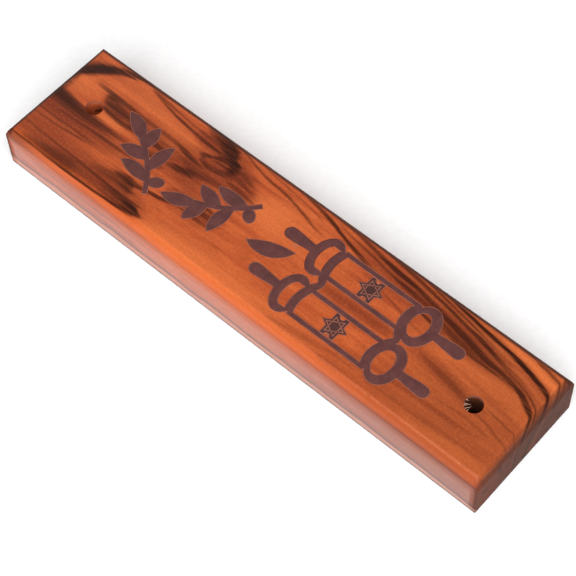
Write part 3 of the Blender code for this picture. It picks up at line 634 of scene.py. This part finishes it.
def case_shell(materials):
    """The block with its outer edges softened, as sanding leaves them."""
    shell = welded_copy("case_body")
    bmesh.ops.dissolve_limit(shell, angle_limit=FLAT_ANGLE, use_dissolve_boundaries=False,
                             verts=shell.verts[:], edges=shell.edges[:])
    softened = ((is_shoulder, SHOULDER_WIDTH, 8), (is_crease, CREASE_WIDTH, 5),
                (is_foot, FOOT_WIDTH, 3))
    for chosen, width, segments in softened:
        bmesh.ops.bevel(shell, geom=outline_edges(shell, chosen), offset=width * MM,
                        segments=segments, profile=0.5, affect="EDGES", clamp_overlap=True)
    mesh = bpy.data.meshes.new("case_wood")
    shell.to_mesh(mesh)
    shell.free()
    for material in materials:
        mesh.materials.append(material)
    # Faces inside the block are raw wood.
    border = CHAMFER + 0.5
    for face in mesh.polygons:
        x, y, z = face.center / MM
        inside = abs(x) < HALF_WIDTH - border and abs(y) < HALF_LENGTH - border
        face.material_index = 1 if inside and NEAR < z < TOP - NEAR else 0
    mesh.shade_smooth()
    mesh.set_sharp_from_angle(angle=CASE_SHARP_ANGLE)
    piece = link_object("case_wood", mesh)
    normals = piece.modifiers.new("flat_faces", "WEIGHTED_NORMAL")
    normals.keep_sharp = True
    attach(piece, "case")
    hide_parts("case_body")
    return piece


def outline_directions(shell):
    """For each corner of a flat sheet's outline, its move when the sheet grows by one unit."""
    outward = {}
    for edge in shell.edges:
        if len(edge.link_faces) != 1:
            continue
        first, second = edge.verts
        run = (second.co - first.co).normalized()
        side = Vector((run.y, -run.x, 0.0))
        inner = edge.link_faces[0].calc_center_median() - first.co
        if side.dot(inner) > 0:
            side = -side
        for vert in edge.verts:
            outward.setdefault(vert, []).append(side)
    directions = {}
    for vert, sides in outward.items():
        along = sum(sides, Vector()).normalized()
        directions[vert] = along / max(along.dot(sides[0]), MITRE_LIMIT)
    return directions


def ringed_prism(sheet, rings):
    """A closed solid on a flat sheet's outline, with a (growth, height) ring at each level."""
    directions = outline_directions(sheet)
    outline = [edge for edge in sheet.edges if len(edge.link_faces) == 1]
    shell = bmesh.new()
    levels = []
    for growth, height in rings:
        level = {}
        for vert, direction in directions.items():
            place = vert.co + direction * growth * MM
            level[vert] = shell.verts.new((place.x, place.y, height * MM))
        levels.append(level)
    for lower, upper in zip(levels, levels[1:]):
        for edge in outline:
            first, second = edge.verts
            shell.faces.new((lower[first], lower[second], upper[second], upper[first]))
    for level in (levels[0], levels[-1]):
        edges = [shell.edges.get((level[edge.verts[0]], level[edge.verts[1]])) for edge in outline]
        bmesh.ops.triangle_fill(shell, edges=edges, use_beauty=True, normal=(0.0, 0.0, 1.0))
    bmesh.ops.recalc_face_normals(shell, faces=shell.faces)
    return shell


def filler_piece(node, material, rim):
    """The filler of one pocket: worn a little at its top edge, and tight against the wood."""
    name = node.replace("inlay", "filler")
    sheet = welded_copy(node)
    top_height = max(vert.co.z for vert in sheet.verts)
    away = [face for face in sheet.faces
            if abs(face.calc_center_median().z - top_height) > NEAR * MM]
    bmesh.ops.delete(sheet, geom=away, context="FACES")
    rings = [(FILLER_GROWTH, POCKET_FLOOR + 0.01)]
    rings += [(FILLER_GROWTH - inward, FILLER_TOP - down) for inward, down in FILLER_RIM]
    shell = ringed_prism(sheet, rings)
    sheet.free()
    piece = finished_piece(name, shell, material, "case")
    piece.data.materials.append(rim)
    # The slanting faces of the rim are paler.
    for face in piece.data.polygons:
        if 0.1 < face.normal.z < 0.99:
            face.material_index = 1
    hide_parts(node)
    return piece


def finished_piece(name, shell, material, body):
    """Turns a bmesh into a piece that rides on a body and has its material."""
    mesh = bpy.data.meshes.new(name)
    shell.to_mesh(mesh)
    shell.free()
    mesh.materials.append(material)
    mesh.shade_smooth()
    mesh.set_sharp_from_angle(angle=PIECE_SHARP_ANGLE)
    piece = link_object(name, mesh)
    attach(piece, body)
    return piece


# The two stars, left between the filler: their centres, size and line in millimetres.
STAR_Y = -19.05
STAR_AXES = (-5.7, 4.2)
STAR_LINE_RADIUS = 1.95
STAR_LINE_HALF = 0.085
STAR_LINE_ROOT = POCKET_FLOOR + 0.2
STAR_LINE_TOP = 10.98


def star_line_ring(shell, axis_x, turn, radius):
    """One triangle of a star, as a thin raised rib of wood left between the filler."""
    corners = []
    for step in range(3):
        angle = turn + math.tau * step / 3
        corners.append(Vector((math.cos(angle), math.sin(angle), 0.0)))
    inner = [corner * (radius - 2 * STAR_LINE_HALF) for corner in corners]
    outer = [corner * (radius + 2 * STAR_LINE_HALF) for corner in corners]
    middle = Vector((axis_x, STAR_Y, 0.0))
    levels = []
    for height in (STAR_LINE_ROOT, STAR_LINE_TOP):
        level = []
        for corner in inner + outer:
            place = (middle + corner) * MM
            level.append(shell.verts.new((place.x, place.y, height * MM)))
        levels.append(level)
    low_inner, low_outer = levels[0][:3], levels[0][3:]
    top_inner, top_outer = levels[1][:3], levels[1][3:]
    for here in range(3):
        there = (here + 1) % 3
        shell.faces.new((top_inner[here], top_inner[there], top_outer[there], top_outer[here]))
        shell.faces.new((low_inner[here], low_inner[there], low_outer[there], low_outer[here]))
        shell.faces.new((low_outer[here], low_outer[there], top_outer[there], top_outer[here]))
        shell.faces.new((low_inner[here], low_inner[there], top_inner[there], top_inner[here]))


def star_lines(material):
    """The fine lines of wood that draw the two triangles of each star."""
    for side, axis_x in zip(("left", "right"), STAR_AXES):
        for part, turn in (("up", math.pi / 2), ("down", -math.pi / 2)):
            shell = bmesh.new()
            star_line_ring(shell, axis_x, turn, STAR_LINE_RADIUS)
            bmesh.ops.recalc_face_normals(shell, faces=shell.faces)
            finished_piece("star_line_" + side + "_" + part, shell, material, "case")


# Torn fibres at the lower hole: direction in degrees, then length, half width and height.
SPLINTERS = [(88, 0.5, 0.10, 10.85), (112, 1.3, 0.13, 10.5), (131, 0.6, 0.10, 10.85),
             (143, 1.5, 0.12, 10.3), (171, 0.7, 0.14, 10.75)]
SPLINTER_ROOT = 1.8
SPLINTER_DEPTH = 0.22


def splinters(material):
    """Thin fibres that the drill left standing out from the lower hole's upper rim; their pale
    colour also paints the glints there.
    """
    hole_x, hole_y = LOWER_HOLE
    down = Vector((0.0, 0.0, -SPLINTER_DEPTH))
    shell = bmesh.new()
    for turn, length, half, height in SPLINTERS:
        inward = Vector((-math.cos(math.radians(turn)), -math.sin(math.radians(turn)), 0.0))
        across = Vector((-inward.y, inward.x, 0.0)) * half
        root = Vector((hole_x, hole_y, height)) - inward * SPLINTER_ROOT
        tip = root + inward * (length + 0.1) + across * 0.8 - Vector((0.0, 0.0, 0.1))
        corners = [shell.verts.new(place * MM) for place in
                   (root - across, root + across, root + across + down, root - across + down, tip)]
        shell.faces.new(corners[:4])
        for here in range(4):
            shell.faces.new((corners[here], corners[(here + 1) % 4], corners[4]))
    bmesh.ops.recalc_face_normals(shell, faces=shell.faces)
    finished_piece("hole_fibres_and_glints", shell, material, "case")


def fibre_and_glint_material():
    graph = Graph("fibre_and_glint_wood")
    fibre = graph.noise(graph.x * 6.0, graph.y * 3.0, graph.z * 6.0, 3.0, 0.6)
    # The pale tone is torn wood and also painted glints over the lower hole.
    tone = graph.mix(graph.ramp(fibre, 0.3, 0.7), colour(150, 104, 84), colour(206, 164, 140))
    return graph.surface(Base_Color=tone, Roughness=0.7, Normal=graph.bump(fibre, 0.3, 0.00004))


# ---------------------------------------------------------------- light, floor and camera

# The camera looks down at the front face from beyond its lower left corner.
CAMERA_LENS = 108.97
CAMERA_PLACE = (-0.12137, -0.12074, 0.27798)
CAMERA_RIGHT = Vector((0.66200, -0.74893, -0.02930))
CAMERA_UP = Vector((0.6506, 0.5548, 0.5187))
CAMERA_BACK = Vector((-0.37218, -0.36242, 0.85448))

# The world glows at the horizon and is dark overhead, so the gloss stays clear.
HORIZON_GLOW = 0.85
ZENITH_GLOW = 0.03
GLOW_FADE = (0.02, 0.32)
FLOOR_HALF = 1.5


def make_camera():
    data = bpy.data.cameras.new("camera")
    data.sensor_width = 36.0
    data.lens = CAMERA_LENS
    data.clip_start = 0.01
    camera = bpy.data.objects.new("camera", data)
    bpy.context.scene.collection.objects.link(camera)
    turn = Matrix((CAMERA_RIGHT, CAMERA_UP, CAMERA_BACK)).transposed().to_4x4()
    camera.matrix_world = Matrix.Translation(CAMERA_PLACE) @ turn
    bpy.context.scene.camera = camera


def area_light(name, place, size, power):
    """A square light that faces the object."""
    data = bpy.data.lights.new(name, "AREA")
    data.shape = "SQUARE"
    data.size = size
    data.energy = power
    light = bpy.data.objects.new(name, data)
    bpy.context.scene.collection.objects.link(light)
    light.location = place
    light.rotation_euler = (-Vector(place)).to_track_quat("-Z", "Y").to_euler()


def make_world():
    world = bpy.data.worlds.new("studio")
    world.use_nodes = True
    tree = world.node_tree
    background = tree.nodes["Background"]
    place = tree.nodes.new("ShaderNodeTexCoord")
    parts = tree.nodes.new("ShaderNodeSeparateXYZ")
    fade = tree.nodes.new("ShaderNodeMapRange")
    fade.interpolation_type = "SMOOTHSTEP"
    for socket, number in zip(fade.inputs[1:5], GLOW_FADE + (HORIZON_GLOW, ZENITH_GLOW)):
        socket.default_value = number
    tree.links.new(place.outputs["Generated"], parts.inputs[0])
    tree.links.new(parts.outputs[2], fade.inputs[0])
    tree.links.new(fade.outputs[0], background.inputs["Strength"])
    background.inputs["Color"].default_value = (1.0, 0.98, 0.97, 1.0)
    bpy.context.scene.world = world
    bpy.context.scene.view_settings.view_transform = "Standard"


def make_floor():
    shell = bmesh.new()
    bmesh.ops.create_grid(shell, x_segments=8, y_segments=8, size=FLOOR_HALF)
    mesh = bpy.data.meshes.new("floor")
    shell.to_mesh(mesh)
    shell.free()
    floor = link_object("floor", mesh)
    graph = Graph("floor_paper")
    grain = graph.noise(graph.x * 0.8, graph.y * 0.8, graph.z, 3.0)
    tone = graph.mix(graph.ramp(grain, 0.3, 0.7), (0.93, 0.93, 0.93), (0.96, 0.96, 0.96))
    mesh.materials.append(graph.surface(Base_Color=tone, Roughness=0.9, Specular_IOR_Level=0.2))


# ---------------------------------------------------------------- assembly

make_camera()
make_world()
make_floor()
area_light("key", (-0.42, -0.34, 0.66), 1.2, 17.2)
area_light("fill", (0.80, 0.74, 0.40), 1.2, 4.5)

wood = olive_wood("olive_wood", True)
raw_wood = olive_wood("olive_wood_raw", False)
case_shell([wood, raw_wood])
filler = filler_material("filler", colour(82, 43, 41), colour(96, 53, 49), colour(62, 31, 30))
rim = filler_material("filler_rim", colour(136, 80, 66), colour(156, 98, 80),
                      colour(110, 62, 50))
star_filler = filler_material("filler_star", colour(66, 35, 32), colour(80, 43, 39),
                              colour(50, 26, 24))
for node in sorted(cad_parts):
    if "inlay" in node:
        filler_piece(node, star_filler if "star" in node else filler, rim)
star_lines(rim)
splinters(fibre_and_glint_material())
for name, material in (("back_cover", cover_wood()), ("parchment_scroll", parchment_material())):
    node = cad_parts[name]
    node.data.materials.clear()
    node.data.materials.append(material)
